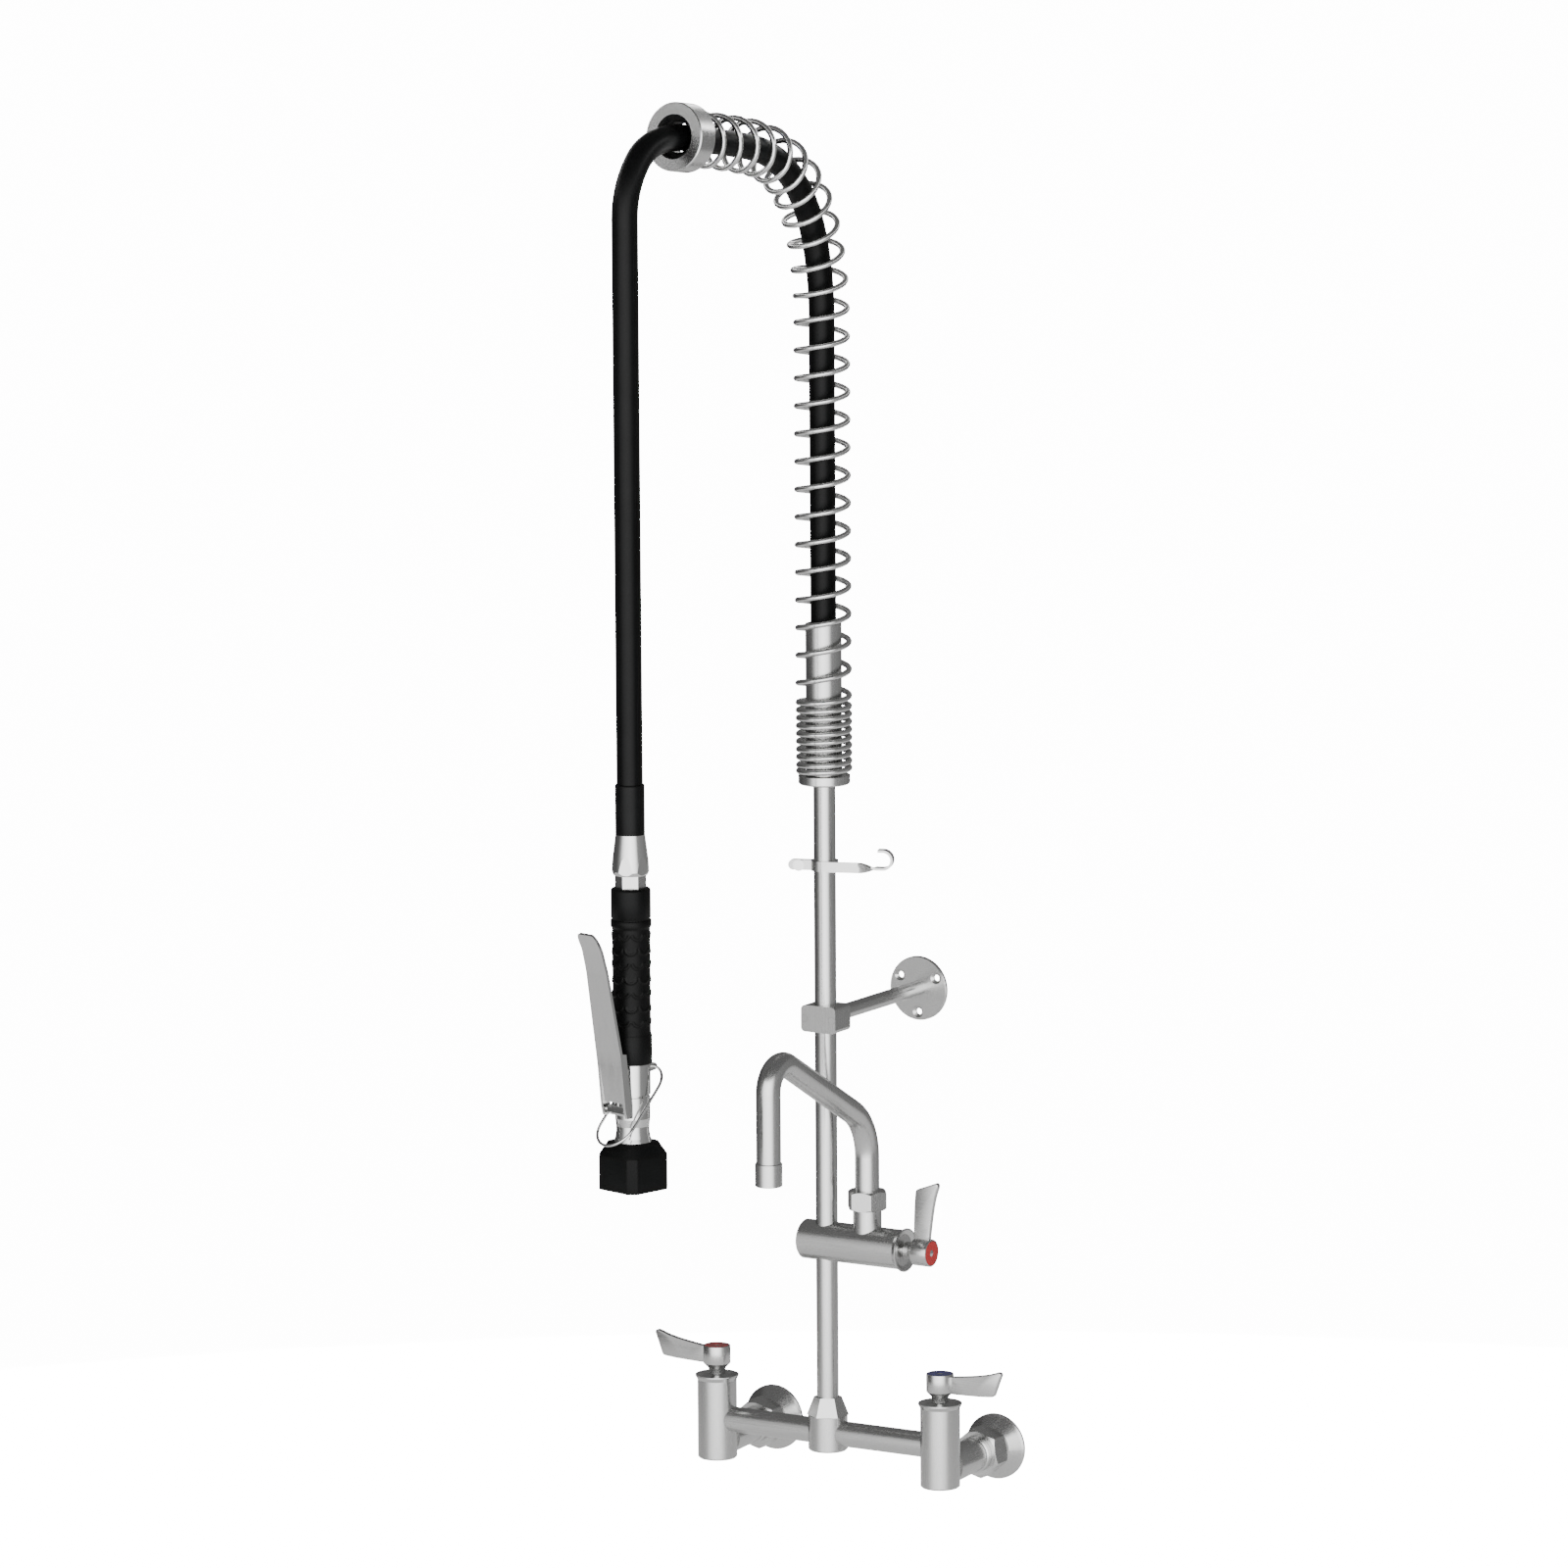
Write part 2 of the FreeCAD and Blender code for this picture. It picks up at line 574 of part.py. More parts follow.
def roundest(points):
    """Each corner's radius: 0.45 of its shorter run over the tangent of half its turn."""
    radii = []
    for before, corner, after in zip(points, points[1:], points[2:]):
        shorter = min((corner - before).Length, (after - corner).Length)
        turn = (corner - before).getAngle(after - corner)
        radii.append(0.45 * shorter / math.tan(turn / 2))
    return radii


hose_path = route(hose_points, roundest(hose_points))
hose = swept(hose_path, size("hose_r"))
keep("hose", shaped(hose))
section_volume = math.pi * size("hose_r") ** 2 * hose_path.Length
print("hose length", round(hose_path.Length, 1), "volume ratio", round(hose.Volume / section_volume, 4))
print("hose radii", [round(radius, 1) for radius in roundest(hose_points)])

RING_AXIS = (hose_points[5] - hose_points[4]).normalize()
RING_BACK = hose_points[4] + RING_AXIS * 44
ring_where = FreeCAD.Placement(RING_BACK, FreeCAD.Rotation(UP, RING_AXIS))
keep("top_ring", turned([("ring_bore_r", "0"), ("ring_r - 0.8", "0"), ("ring_r", "0.8"),
                         ("ring_r", "ring_long - 0.8"), ("ring_r - 0.8", "ring_long"),
                         ("ring_bore_r", "ring_long")], ring_where))
keep("ring_liner", turned([("hose_r + 1.6", "0.5"), ("ring_bore_r", "0.5"), ("ring_bore_r", "ring_long - 6"),
                           ("hose_r + 3.6", "ring_long - 5"), ("hose_r + 1.6", "ring_long - 6")],
                          ring_where))

spring_points = [AXIS + UP * (size("base_low") + size("base_high"))] + hose_points[1:5] + [RING_BACK]
spring_radii = roundest(spring_points[:-1] + [hose_points[5]])
spring_path = route(spring_points, spring_radii)
spring_bore = size("spring_r") - size("spring_wall")
keep("arch_spring", shaped(swept(spring_path, size("spring_r")).cut(swept(spring_path, spring_bore))))

# ---------------------------------------------------------------- spray valve
spray_axis = AXIS + FORWARD * size("drop_reach")
# local +X is the lever's side, towards the user
spray = place(spray_axis.x, spray_axis.y, 0, UP, size("spray_yaw") - 90)
keep("crimp_sleeve", turned([("hose_r - 2", "crimp_low"), ("crimp_r", "crimp_low"),
                             ("crimp_r", "drop_low - 0.8"), ("crimp_r - 0.8", "drop_low"),
                             ("hose_r - 2", "drop_low")], spray))
coupling_blank = primitive("Prism", FreeCAD.Placement(V(spray_axis.x, spray_axis.y, size("coupling_low")),
                                                      spray.Rotation),
                           Circumradius="coupling_flats / 1.7320508", Height="crimp_low - coupling_low - 0.2")
coupling_blank.Polygon = 6
coupling_dome = turned([("core_bore_r", "coupling_low"), ("coupling_flats / 2 - 0.3", "coupling_low"),
                        ("coupling_flats / 1.85", "coupling_low + 3"),
                        ("coupling_flats / 1.95", "coupling_low + 12"), ("crimp_r", "crimp_low - 0.2"),
                        ("core_bore_r", "crimp_low - 0.2")], spray)
keep("coupling_nut", common(coupling_blank, coupling_dome))
neck_hex = hexagon(FreeCAD.Placement(V(spray_axis.x, spray_axis.y, size("grip_top")),
                                     spray.Rotation.multiply(FreeCAD.Rotation(UP, 15))),
                   "20.5", "coupling_low - grip_top")
neck_bore = cylinder(place(spray_axis.x, spray_axis.y, size("grip_top") - 1), "core_bore_r", "20")
keep("inlet_neck", cut(neck_hex, neck_bore))
keep("grip_core", turned([("core_bore_r", "grip_low"), ("core_r", "grip_low"), ("core_r", "grip_top"),
                          ("core_bore_r", "grip_top")], spray))
keep("grip", turned([("core_r", "grip_low"), ("grip_r - 0.6", "grip_low"), ("grip_r", "grip_low + 1"),
                     ("grip_r", "grip_low + 22"), ("grip_waist_r", "grip_low + 23"),
                     ("grip_waist_r", "grip_top - 30"), ("grip_r + 0.3", "grip_top - 29"),
                     ("grip_r + 0.3", "grip_top - 24"), ("grip_r - 0.2", "grip_top - 23"),
                     ("grip_r - 0.2", "grip_top - 2"), ("grip_r - 2", "grip_top"), ("core_r", "grip_top")],
                    spray))

spray_shell = turned([("0", "body_low"), ("skirt_r", "body_low"), ("skirt_r - 2", "guard_top + 0.4"),
                      ("body_waist_r + 0.8", "guard_top + 3"), ("body_waist_r", "guard_top + 8"),
                      ("body_waist_r", "guard_top + 12"), ("body_r - 0.5", "guard_top + 18"),
                      ("body_r - 0.5", "pivot_z + 9"), ("body_waist_r - 0.6", "pivot_z + 9.4"),
                      ("body_waist_r - 0.6", "pivot_z + 10.6"), ("body_r", "pivot_z + 11"),
                      ("body_r", "grip_low"), ("0", "grip_low")], spray)


def on_spray(reach, across, height):
    return spray.multVec(V(reach, across, height))


def spray_at(reach, across, height, direction):
    spot = on_spray(reach, across, height)
    return place(spot.x, spot.y, spot.z, spray.Rotation.multVec(direction))


lug = padded([("10", "pivot_z - 3.5"), ("pivot_u + 1.5", "pivot_z - 3.5"), ("pivot_u + 3", "pivot_z - 1.5"),
              ("pivot_u + 3", "pivot_z + 1.5"), ("pivot_u + 1.5", "pivot_z + 3.5"),
              ("10", "pivot_z + 3.5")], "lever_wide - 10", spray)
ring_tab = padded([("-13", "ring_hinge_z - 4"), ("-ring_hinge_u - 1", "ring_hinge_z - 2.6"),
                   ("-ring_hinge_u - 2.6", "ring_hinge_z - 1"), ("-ring_hinge_u - 2.6", "ring_hinge_z + 1"),
                   ("-ring_hinge_u - 1", "ring_hinge_z + 2.6"), ("-13", "ring_hinge_z + 4")], "3", spray)
water_way = cylinder(spray_at(0, 0, size("body_low") - 1, UP), "way_r - 2",
                     "plunger_z - plunger_r - body_low + 1.5")
top_way = cylinder(spray_at(0, 0, size("plunger_z") + size("plunger_r") - 0.5, UP), "way_r - 2", "30")
plunger_way = cylinder(spray_at(-9, 0, size("plunger_z"), TO_COLD), "plunger_r + slip", "40")
pin_way = cylinder(spray_at(size("pivot_u"), -15, size("pivot_z"), TO_WALL), "pivot_r", "30")
ring_way = cylinder(spray_at(-size("ring_hinge_u"), -12, size("ring_hinge_z"), TO_WALL),
                    "ring_wire_r + 0.25", "24")
keep("spray_body", cut(fuse(spray_shell, lug, ring_tab), water_way, top_way, plunger_way, pin_way, ring_way))
keep("plunger", turned([("0", "0"), ("plunger_r", "0"), ("plunger_r", "13"), ("plunger_r - 0.8", "14"),
                        ("0", "14")], spray_at(4.2, 0, size("plunger_z"), TO_COLD)))
keep("plunger_spring", turned([("plunger_r - 1.2", "0"), ("plunger_r - 0.2", "0"),
                               ("plunger_r - 0.2", "13.1"), ("plunger_r - 1.2", "13.1")],
                              spray_at(-8.95, 0, size("plunger_z"), TO_COLD)))
keep("lever_pin", turned([("0", "0"), ("pivot_r", "0"), ("pivot_r", "lever_wide"), ("0", "lever_wide")],
                         spray_at(size("pivot_u"), -size("lever_wide") / 2, size("pivot_z"), TO_WALL)))


def lever():
    """A pressed lever plate with a kink, a tip curled outwards and two flanks that reach the pin."""
    thick = size("lever_thick")
    face = [(17.0, 323.0), (22.6, 362.0), (34.0, 425.0), (39.0, 443.0), (45.5, 455.6)]
    path = route([V(u, 0, z) for u, z in face], [30.0, 90.0, 24.0])
    shifted = path.makeOffset2D(thick, 0, False, True)
    if shifted.BoundBox.XMax < path.BoundBox.XMax:
        shifted = path.makeOffset2D(-thick, 0, False, True)
    ends = [Part.LineSegment(path.OrderedVertexes[i].Point, shifted.OrderedVertexes[i].Point).toShape()
            for i in (0, -1)]
    loop = Part.Wire(Part.__sortEdges__(path.Edges + shifted.Edges + ends))
    half = size("lever_wide") / 2
    plate = Part.Face(loop).extrude(V(0, 2 * half, 0))
    plate.translate(V(0, -half, 0))
    side = [(12.6, 311.4), (18.2, 311.4), (20.0, 318.0), (24.6, 362.0), (18.6, 361.0), (15.0, 331.0),
            (12.6, 320.0), (12.6, 311.4)]
    flanks = [Part.Face(Part.makePolygon([V(u, across, z) for u, z in side])).extrude(V(0, thick, 0))
              for across in (-half, half - thick)]
    blank = plate.fuse(flanks)
    tip, corner_r, high = size("lever_tip") / 2, 8.0, face[-1][1] + 1.4
    for side in (-1, 1):
        taper = Part.makePolygon([V(0, side * y, z) for y, z in ((half, 362.0), (half + 5, high),
                                                                 (tip, high), (half, 362.0))])
        block = Part.makeBox(40, corner_r + 5, corner_r, V(30, side * tip - (corner_r if side > 0 else 5),
                                                           high - corner_r))
        round_off = Part.makeCylinder(corner_r, 40, V(30, side * (tip - corner_r), high - corner_r), TO_COLD)
        blank = blank.cut(Part.Face(taper).extrude(V(70, 0, 0))).cut(block.cut(round_off))
    return blank


lever_bore = cylinder(spray_at(size("pivot_u"), -15, size("pivot_z"), TO_WALL), "pivot_r + slip", "30")
keep("squeeze_lever", cut(shaped(lever(), spray), lever_bore))

LOOP_HALF, LOOP_LONG, LOOP_TILT = 17.5, 74.0, 47.0


def hold_loop():
    """A long loop of wire, round at both ends, lying in its own XY plane from its back end."""
    back, front = LOOP_HALF, LOOP_LONG - LOOP_HALF
    wire = Part.Wire([
        Part.LineSegment(V(back, -LOOP_HALF, 0), V(front, -LOOP_HALF, 0)).toShape(),
        Part.Arc(V(front, -LOOP_HALF, 0), V(LOOP_LONG, 0, 0), V(front, LOOP_HALF, 0)).toShape(),
        Part.LineSegment(V(front, LOOP_HALF, 0), V(back, LOOP_HALF, 0)).toShape(),
        Part.Arc(V(back, LOOP_HALF, 0), V(0, 0, 0), V(back, -LOOP_HALF, 0)).toShape()])
    return swept(wire, size("ring_wire_r"))


loop_where = FreeCAD.Placement(on_spray(-size("ring_hinge_u"), 0, size("ring_hinge_z")),
                               spray.Rotation.multiply(FreeCAD.Rotation(TO_WALL, LOOP_TILT)))
keep("hold_ring", shaped(hold_loop(), loop_where))


def chamfered_square(half, corner):
    ring = []
    for i in range(4):
        turn = FreeCAD.Rotation(UP, 90 * i)
        ring += [turn.multVec(V(half, -half + corner, 0)), turn.multVec(V(half, half - corner, 0))]
    return ring


def guard():
    """The rubber bumper: a chamfered square cup, open below, with sloped shoulders."""
    half, corner, wall = size("guard_side") / 2, size("guard_corner"), size("guard_wall")

    def ring(inset, height):
        points = chamfered_square(half - inset, max(corner - inset * 0.4, 2.0))
        return Part.makePolygon([point + UP * height for point in points + points[:1]])
    low, shoulder, top = size("guard_low"), size("guard_shoulder"), size("guard_top")
    outer = [Part.makeLoft([ring(1.2, low), ring(0, low + 1.2)], True, True),
             Part.makeLoft([ring(0, low + 1.2), ring(0, shoulder)], True, True),
             Part.makeLoft([ring(0, shoulder), ring(6.2, top)], True, True)]
    solid = outer[0].fuse(outer[1:]).removeSplitter()
    hollow = Part.makeLoft([ring(wall, low - 1), ring(wall, shoulder - 2)], True, True)
    skirt = size("skirt_r") + size("slip")
    flare = Part.makeCone(skirt, skirt - 2, top + 0.4 - size("body_low"), V(0, 0, size("body_low")))
    neck_gap = Part.makeCylinder(skirt, 7, V(0, 0, size("body_low") - 7))
    return solid.cut(hollow).cut(flare).cut(neck_gap)


keep("guard", shaped(guard(), spray))
face = turned([("0", "-5"), ("skirt_r", "-5"), ("skirt_r", "0"), ("0", "0")],
              spray_at(0, 0, size("body_low"), UP))
jets = [cylinder(spray_at(radius * math.cos(angle), radius * math.sin(angle), size("body_low") - 8, UP),
                 "1.1", "12")
        for radius, number in ((6.0, 6), (11.5, 12))
        for angle in (2 * math.pi * i / number for i in range(number))]
keep("spray_face", cut(face, fuse(*jets)))
keep("face_screw", turned([("0", "0"), ("2.6", "0"), ("2.6", "1.6"), ("0", "1.6")],
                          spray_at(0, 0, size("body_low") - 6.8, UP)))

# ---------------------------------------------------------------- check and write
doc.recompute()
for item in doc.Objects:
    if "Invalid" in item.State or "Error" in item.State:
        raise RuntimeError("%s failed: %s" % (item.Label, item.State))
for label, item in parts.items():
    if item.Shape.isNull() or not item.Shape.isValid():
        raise RuntimeError("%s has no valid shape" % label)
os.makedirs("parts", exist_ok=True)
for label, item in parts.items():
    item.Shape.exportStep("parts/%s.step" % label)
print(len(parts), "nodes")
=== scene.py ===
"""A wall-mounted pre-rinse faucet with an add-on spout: its finishes, hose, spring and small parts."""
import json
import math

import bmesh
import bpy
from mathutils import Matrix, Vector


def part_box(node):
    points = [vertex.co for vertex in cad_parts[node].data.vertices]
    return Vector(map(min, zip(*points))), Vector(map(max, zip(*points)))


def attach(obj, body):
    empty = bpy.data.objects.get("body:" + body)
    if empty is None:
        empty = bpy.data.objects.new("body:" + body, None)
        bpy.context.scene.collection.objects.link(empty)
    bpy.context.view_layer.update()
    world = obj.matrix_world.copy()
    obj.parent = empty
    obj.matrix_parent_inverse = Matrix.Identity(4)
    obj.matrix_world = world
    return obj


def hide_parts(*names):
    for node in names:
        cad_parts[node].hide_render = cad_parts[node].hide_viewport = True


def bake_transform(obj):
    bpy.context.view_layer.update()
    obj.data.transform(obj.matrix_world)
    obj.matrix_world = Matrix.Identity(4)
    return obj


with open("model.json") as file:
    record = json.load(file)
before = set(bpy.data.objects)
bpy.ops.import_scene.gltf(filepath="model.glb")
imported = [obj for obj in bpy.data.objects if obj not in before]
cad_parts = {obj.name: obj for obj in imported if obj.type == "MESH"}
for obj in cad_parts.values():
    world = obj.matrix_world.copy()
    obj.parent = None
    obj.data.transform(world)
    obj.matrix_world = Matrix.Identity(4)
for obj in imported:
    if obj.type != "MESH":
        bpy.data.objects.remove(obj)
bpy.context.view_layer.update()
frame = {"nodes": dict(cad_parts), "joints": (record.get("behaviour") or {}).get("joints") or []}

bl_info = {
    "name": "Pre-rinse faucet",
    "version": (1, 0, 0),
    "blender": (4, 5, 0),
    "location": "View3D > Sidebar > Faucet",
    "description": "Builds the looks of a pre-rinse faucet round its packed model",
    "category": "Add Mesh",
}

MM = 0.001
UP = Vector((0, 0, 1))
NODES = frame["nodes"]
JOINTS = {joint["name"]: joint for joint in frame["joints"]}


def low(node):
    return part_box(node)[0]


def high(node):
    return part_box(node)[1]


def joint_place(name):
    return Vector(JOINTS[name]["pos_m"])


def frame_of(origin, towards, upwards):
    """A matrix whose local X points one way and whose local Z another, from an origin."""
    z = Vector(upwards).normalized()
    x = Vector(towards).normalized()
    y = z.cross(x)
    turn = Matrix((x, y, z)).transposed().to_4x4()
    return Matrix.Translation(origin) @ turn


RISER = Vector(((low("riser_upper").x + high("riser_upper").x) / 2,
                (low("riser_upper").y + high("riser_upper").y) / 2, 0))
DROP = Vector((joint_place("spray_swivel").x, joint_place("spray_swivel").y, 0))
FORWARD = (DROP - RISER).normalized()
REACH = (DROP - RISER).length
# local X of the spray valve points from its axis to its lever
LEVER_AXIS = Vector(JOINTS["lever_squeeze"]["axis"])
SPRAY = frame_of(DROP, LEVER_AXIS.cross(UP) * -1, UP)


# ------------------------------------------------------------------ settings
class HoseSettings(bpy.types.PropertyGroup):
    diameter: bpy.props.FloatProperty(
        name="Hose diameter", description="Outside diameter of the hose",
        default=0.020, unit="LENGTH", precision=4)
    length: bpy.props.FloatProperty(
        name="Hose length", description="Length along the hose between its two ends",
        default=1.145, unit="LENGTH", precision=3)
    colour: bpy.props.FloatVectorProperty(
        name="Hose colour", description="Colour of the hose's rubber cover",
        default=(0.0025, 0.0025, 0.0026), subtype="COLOR")


class SpringSettings(bpy.types.PropertyGroup):
    wire: bpy.props.FloatProperty(
        name="Wire", description="Diameter of the spring wire",
        default=0.0045, unit="LENGTH", precision=4)
    close_pitch: bpy.props.FloatProperty(
        name="Close pitch", description="Distance between the turns at the spring's foot",
        default=0.0061, unit="LENGTH", precision=4)
    open_pitch: bpy.props.FloatProperty(
        name="Open pitch", description="Distance between the turns along the rest of the spring",
        default=0.0215, unit="LENGTH", precision=4)
    close_turns: bpy.props.FloatProperty(
        name="Close turns", description="Number of turns at the close pitch", default=9.0)


class MetalSettings(bpy.types.PropertyGroup):
    satin: bpy.props.FloatVectorProperty(
        name="Satin steel", description="Colour of the brushed steel",
        default=(0.60, 0.60, 0.595), subtype="COLOR")
    bright: bpy.props.FloatVectorProperty(
        name="Bright metal", description="Colour of the plated parts",
        default=(0.68, 0.68, 0.675), subtype="COLOR")
    grain: bpy.props.FloatProperty(
        name="Grain", description="How finely the satin steel is brushed", default=2200.0)


class HandleSettings(bpy.types.PropertyGroup):
    blade: bpy.props.FloatProperty(
        name="Blade thickness", description="Thickness of a handle's blade",
        default=0.0045, unit="LENGTH", precision=4)
    edge: bpy.props.FloatProperty(
        name="Edge rounding", description="Radius of the handles' edges",
        default=0.0006, unit="LENGTH", precision=4)
    hot: bpy.props.FloatVectorProperty(
        name="Hot index", description="Colour of the hot and add-on discs",
        default=(0.50, 0.015, 0.015), subtype="COLOR")
    cold: bpy.props.FloatVectorProperty(
        name="Cold index", description="Colour of the cold disc",
        default=(0.02, 0.02, 0.22), subtype="COLOR")


class SpraySettings(bpy.types.PropertyGroup):
    grip_colour: bpy.props.FloatVectorProperty(
        name="Grip", description="Colour of the moulded grip",
        default=(0.003, 0.003, 0.0031), subtype="COLOR")
    guard_colour: bpy.props.FloatVectorProperty(
        name="Guard", description="Colour of the rubber guard",
        default=(0.0025, 0.0025, 0.0025), subtype="COLOR")
    knurl: bpy.props.FloatProperty(
        name="Knurl height", description="How far the grip's crescents stand up",
        default=0.0006, unit="LENGTH", precision=4)


def settings(name):
    return getattr(bpy.context.scene, "faucet_" + name)


# ------------------------------------------------------------------ materials
def material(name, colour, roughness, metallic=0.0):
    """A new material with its shader and an Object-coordinate source."""
    made = bpy.data.materials.new(name)
    made.use_nodes = True
    tree = made.node_tree
    shader = tree.nodes["Principled BSDF"]
    shader.inputs["Base Color"].default_value = (*colour, 1)
    shader.inputs["Roughness"].default_value = roughness
    shader.inputs["Metallic"].default_value = metallic
    coordinates = tree.nodes.new("ShaderNodeTexCoord")
    return made, tree, shader, coordinates.outputs["Object"]


def stretched(tree, source, stretch):
    mapping = tree.nodes.new("ShaderNodeMapping")
    mapping.inputs["Scale"].default_value = stretch
    tree.links.new(source, mapping.inputs["Vector"])
    return mapping.outputs["Vector"]


def noise(tree, source, scale, detail=4.0, roughness=0.55):
    made = tree.nodes.new("ShaderNodeTexNoise")
    made.inputs["Scale"].default_value = scale
    made.inputs["Detail"].default_value = detail
    made.inputs["Roughness"].default_value = roughness
    tree.links.new(source, made.inputs["Vector"])
    return made.outputs["Fac"]


def ranged(tree, value, lowest, highest):
    """Spreads a noise's middle values between two numbers."""
    made = tree.nodes.new("ShaderNodeMapRange")
    made.inputs["From Min"].default_value = 0.3
    made.inputs["From Max"].default_value = 0.7
    made.inputs["To Min"].default_value = lowest
    made.inputs["To Max"].default_value = highest
    tree.links.new(value, made.inputs["Value"])
    return made.outputs["Result"]


def bumped(tree, shader, height, strength, depth):
    bump = tree.nodes.new("ShaderNodeBump")
    bump.inputs["Strength"].default_value = strength
    bump.inputs["Distance"].default_value = depth
    tree.links.new(height, bump.inputs["Height"])
    tree.links.new(bump.outputs["Normal"], shader.inputs["Normal"])


def tinted(tree, shader, value, darker, lighter):
    """Colours the shader between two colours by a value."""
    ramp = tree.nodes.new("ShaderNodeValToRGB")
    ramp.color_ramp.elements[0].position = 0.35
    ramp.color_ramp.elements[1].position = 0.65
    ramp.color_ramp.elements[0].color = (*darker, 1)
    ramp.color_ramp.elements[1].color = (*lighter, 1)
    tree.links.new(value, ramp.inputs["Fac"])
    tree.links.new(ramp.outputs["Color"], shader.inputs["Base Color"])


def shade(colour, share):
    return tuple(channel * share for channel in colour)


def brushed_steel(name, grain_along):
    """Satin stainless steel whose fine scratches run along one direction, or along none."""
    metal = settings("metal")
    made, tree, shader, source = material(name, metal.satin, 0.27, 1.0)
    stretch = [1.0 if axis != grain_along else 0.02 for axis in "xyz"]
    scratches = noise(tree, stretched(tree, source, stretch), metal.grain)
    patches = noise(tree, source, 28.0, 2.0)
    mixed = tree.nodes.new("ShaderNodeMath")
    mixed.operation = "ADD"
    tree.links.new(ranged(tree, scratches, 0.22, 0.29), mixed.inputs[0])
    tree.links.new(ranged(tree, patches, -0.012, 0.012), mixed.inputs[1])
    tree.links.new(mixed.outputs["Value"], shader.inputs["Roughness"])
    tinted(tree, shader, scratches, shade(metal.satin, 0.97), shade(metal.satin, 1.03))
    bumped(tree, shader, scratches, 0.05, 0.00002)
    return made


def bright_metal(name="bright_metal"):
    """Plated metal with a few soft polishing marks."""
    metal = settings("metal")
    made, tree, shader, source = material(name, metal.bright, 0.14, 1.0)
    marks = noise(tree, stretched(tree, source, (1, 1, 0.2)), 260.0)
    tree.links.new(ranged(tree, marks, 0.10, 0.19), shader.inputs["Roughness"])
    bumped(tree, shader, marks, 0.05, 0.00004)
    return made


def spring_wire():
    metal = settings("metal")
    made, tree, shader, source = material("spring_wire", metal.bright, 0.2, 1.0)
    drawn = noise(tree, source, 700.0, 3.0)
    tree.links.new(ranged(tree, drawn, 0.16, 0.26), shader.inputs["Roughness"])
    tinted(tree, shader, drawn, shade(metal.bright, 0.93), shade(metal.bright, 1.04))
    return made


def machined_brass():
    made, tree, shader, source = material("machined_brass", (0.60, 0.42, 0.16), 0.3, 1.0)
    turning = noise(tree, stretched(tree, source, (0.1, 0.1, 1)), 1400.0)
    tree.links.new(ranged(tree, turning, 0.22, 0.40), shader.inputs["Roughness"])
    return made


def black_moulding(name, colour, roughness, speckle, depth):
    """Black rubber or plastic with a fine moulded texture."""
    made, tree, shader, source = material(name, colour, roughness)
    shader.inputs["Specular IOR Level"].default_value = 0.12
    texture = noise(tree, source, speckle, 6.0, 0.6)
    tree.links.new(ranged(tree, texture, roughness - 0.05, roughness + 0.07), shader.inputs["Roughness"])
    tinted(tree, shader, noise(tree, source, 60.0), shade(colour, 0.8), shade(colour, 1.3))
    bumped(tree, shader, texture, 0.25, depth)
    return made


def index_gloss(name, colour):
    made, tree, shader, source = material(name, colour, 0.25)
    shader.inputs["Coat Weight"].default_value = 0.5
    shader.inputs["Coat Roughness"].default_value = 0.08
    tinted(tree, shader, noise(tree, source, 400.0), shade(colour, 0.85), shade(colour, 1.1))
    return made


# ------------------------------------------------------------------ mesh helpers
def new_piece(name, mesh, finish, body, node, sharp=35.0):
    """Puts a finished mesh on a body in place of a node, smooth but for its sharp edges."""
    piece = bpy.data.objects.new(name, mesh)
    bpy.context.scene.collection.objects.link(piece)
    mesh.materials.clear()
    mesh.materials.append(finish)
    mesh.shade_smooth()
    mesh.set_sharp_from_angle(angle=math.radians(sharp))
    if body:
        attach(piece, body)
    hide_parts(node)
    return piece


def mesh_of(name, bm, place=None):
    """Turns a bmesh into a mesh, placed in the frame."""
    if place is not None:
        bm.transform(place)
    bmesh.ops.recalc_face_normals(bm, faces=bm.faces)
    mesh = bpy.data.meshes.new(name)
    bm.to_mesh(mesh)
    bm.free()
    return mesh


def spun(bm, profile, steps=72):
    """Spins (radius, height) points round local Z, and closes the poles."""
    verts = [bm.verts.new((radius, 0, height)) for radius, height in profile]
    edges = [bm.edges.new(pair) for pair in zip(verts, verts[1:])]
    bmesh.ops.spin(bm, geom=verts + edges, cent=(0, 0, 0), axis=(0, 0, 1),
                   angle=2 * math.pi, steps=steps, use_merge=True)
    bmesh.ops.remove_doubles(bm, verts=bm.verts, dist=1e-6)
    return bm


def prism(bm, outline, thickness):
    """A plate from an outline in local XZ, as thick along local Y, both ways from the middle."""
    verts = [bm.verts.new((x, -thickness / 2, z)) for x, z in outline]
    face = bm.faces.new(verts)
    grown = bmesh.ops.extrude_face_region(bm, geom=[face])
    moved = [item for item in grown["geom"] if isinstance(item, bmesh.types.BMVert)]
    bmesh.ops.translate(bm, verts=moved, vec=(0, thickness, 0))
    bmesh.ops.recalc_face_normals(bm, faces=bm.faces)
    return bm


def soften(bm, width, angle=30.0, segments=3):
    """Bevels every edge that is sharper than an angle."""
    sharp = [edge for edge in bm.edges
             if len(edge.link_faces) == 2 and edge.calc_face_angle(0) > math.radians(angle)]
    bmesh.ops.bevel(bm, geom=sharp, offset=width, offset_type="OFFSET", affect="EDGES",
                    segments=segments, profile=0.5, clamp_overlap=True, material=-1)


def merged_copy(node):
    """A bmesh of a node's shape with its loose triangles joined into whole faces."""
    bm = bmesh.new()
    bm.from_mesh(NODES[node].data)
    bmesh.ops.remove_doubles(bm, verts=bm.verts, dist=2e-6)
    return bm


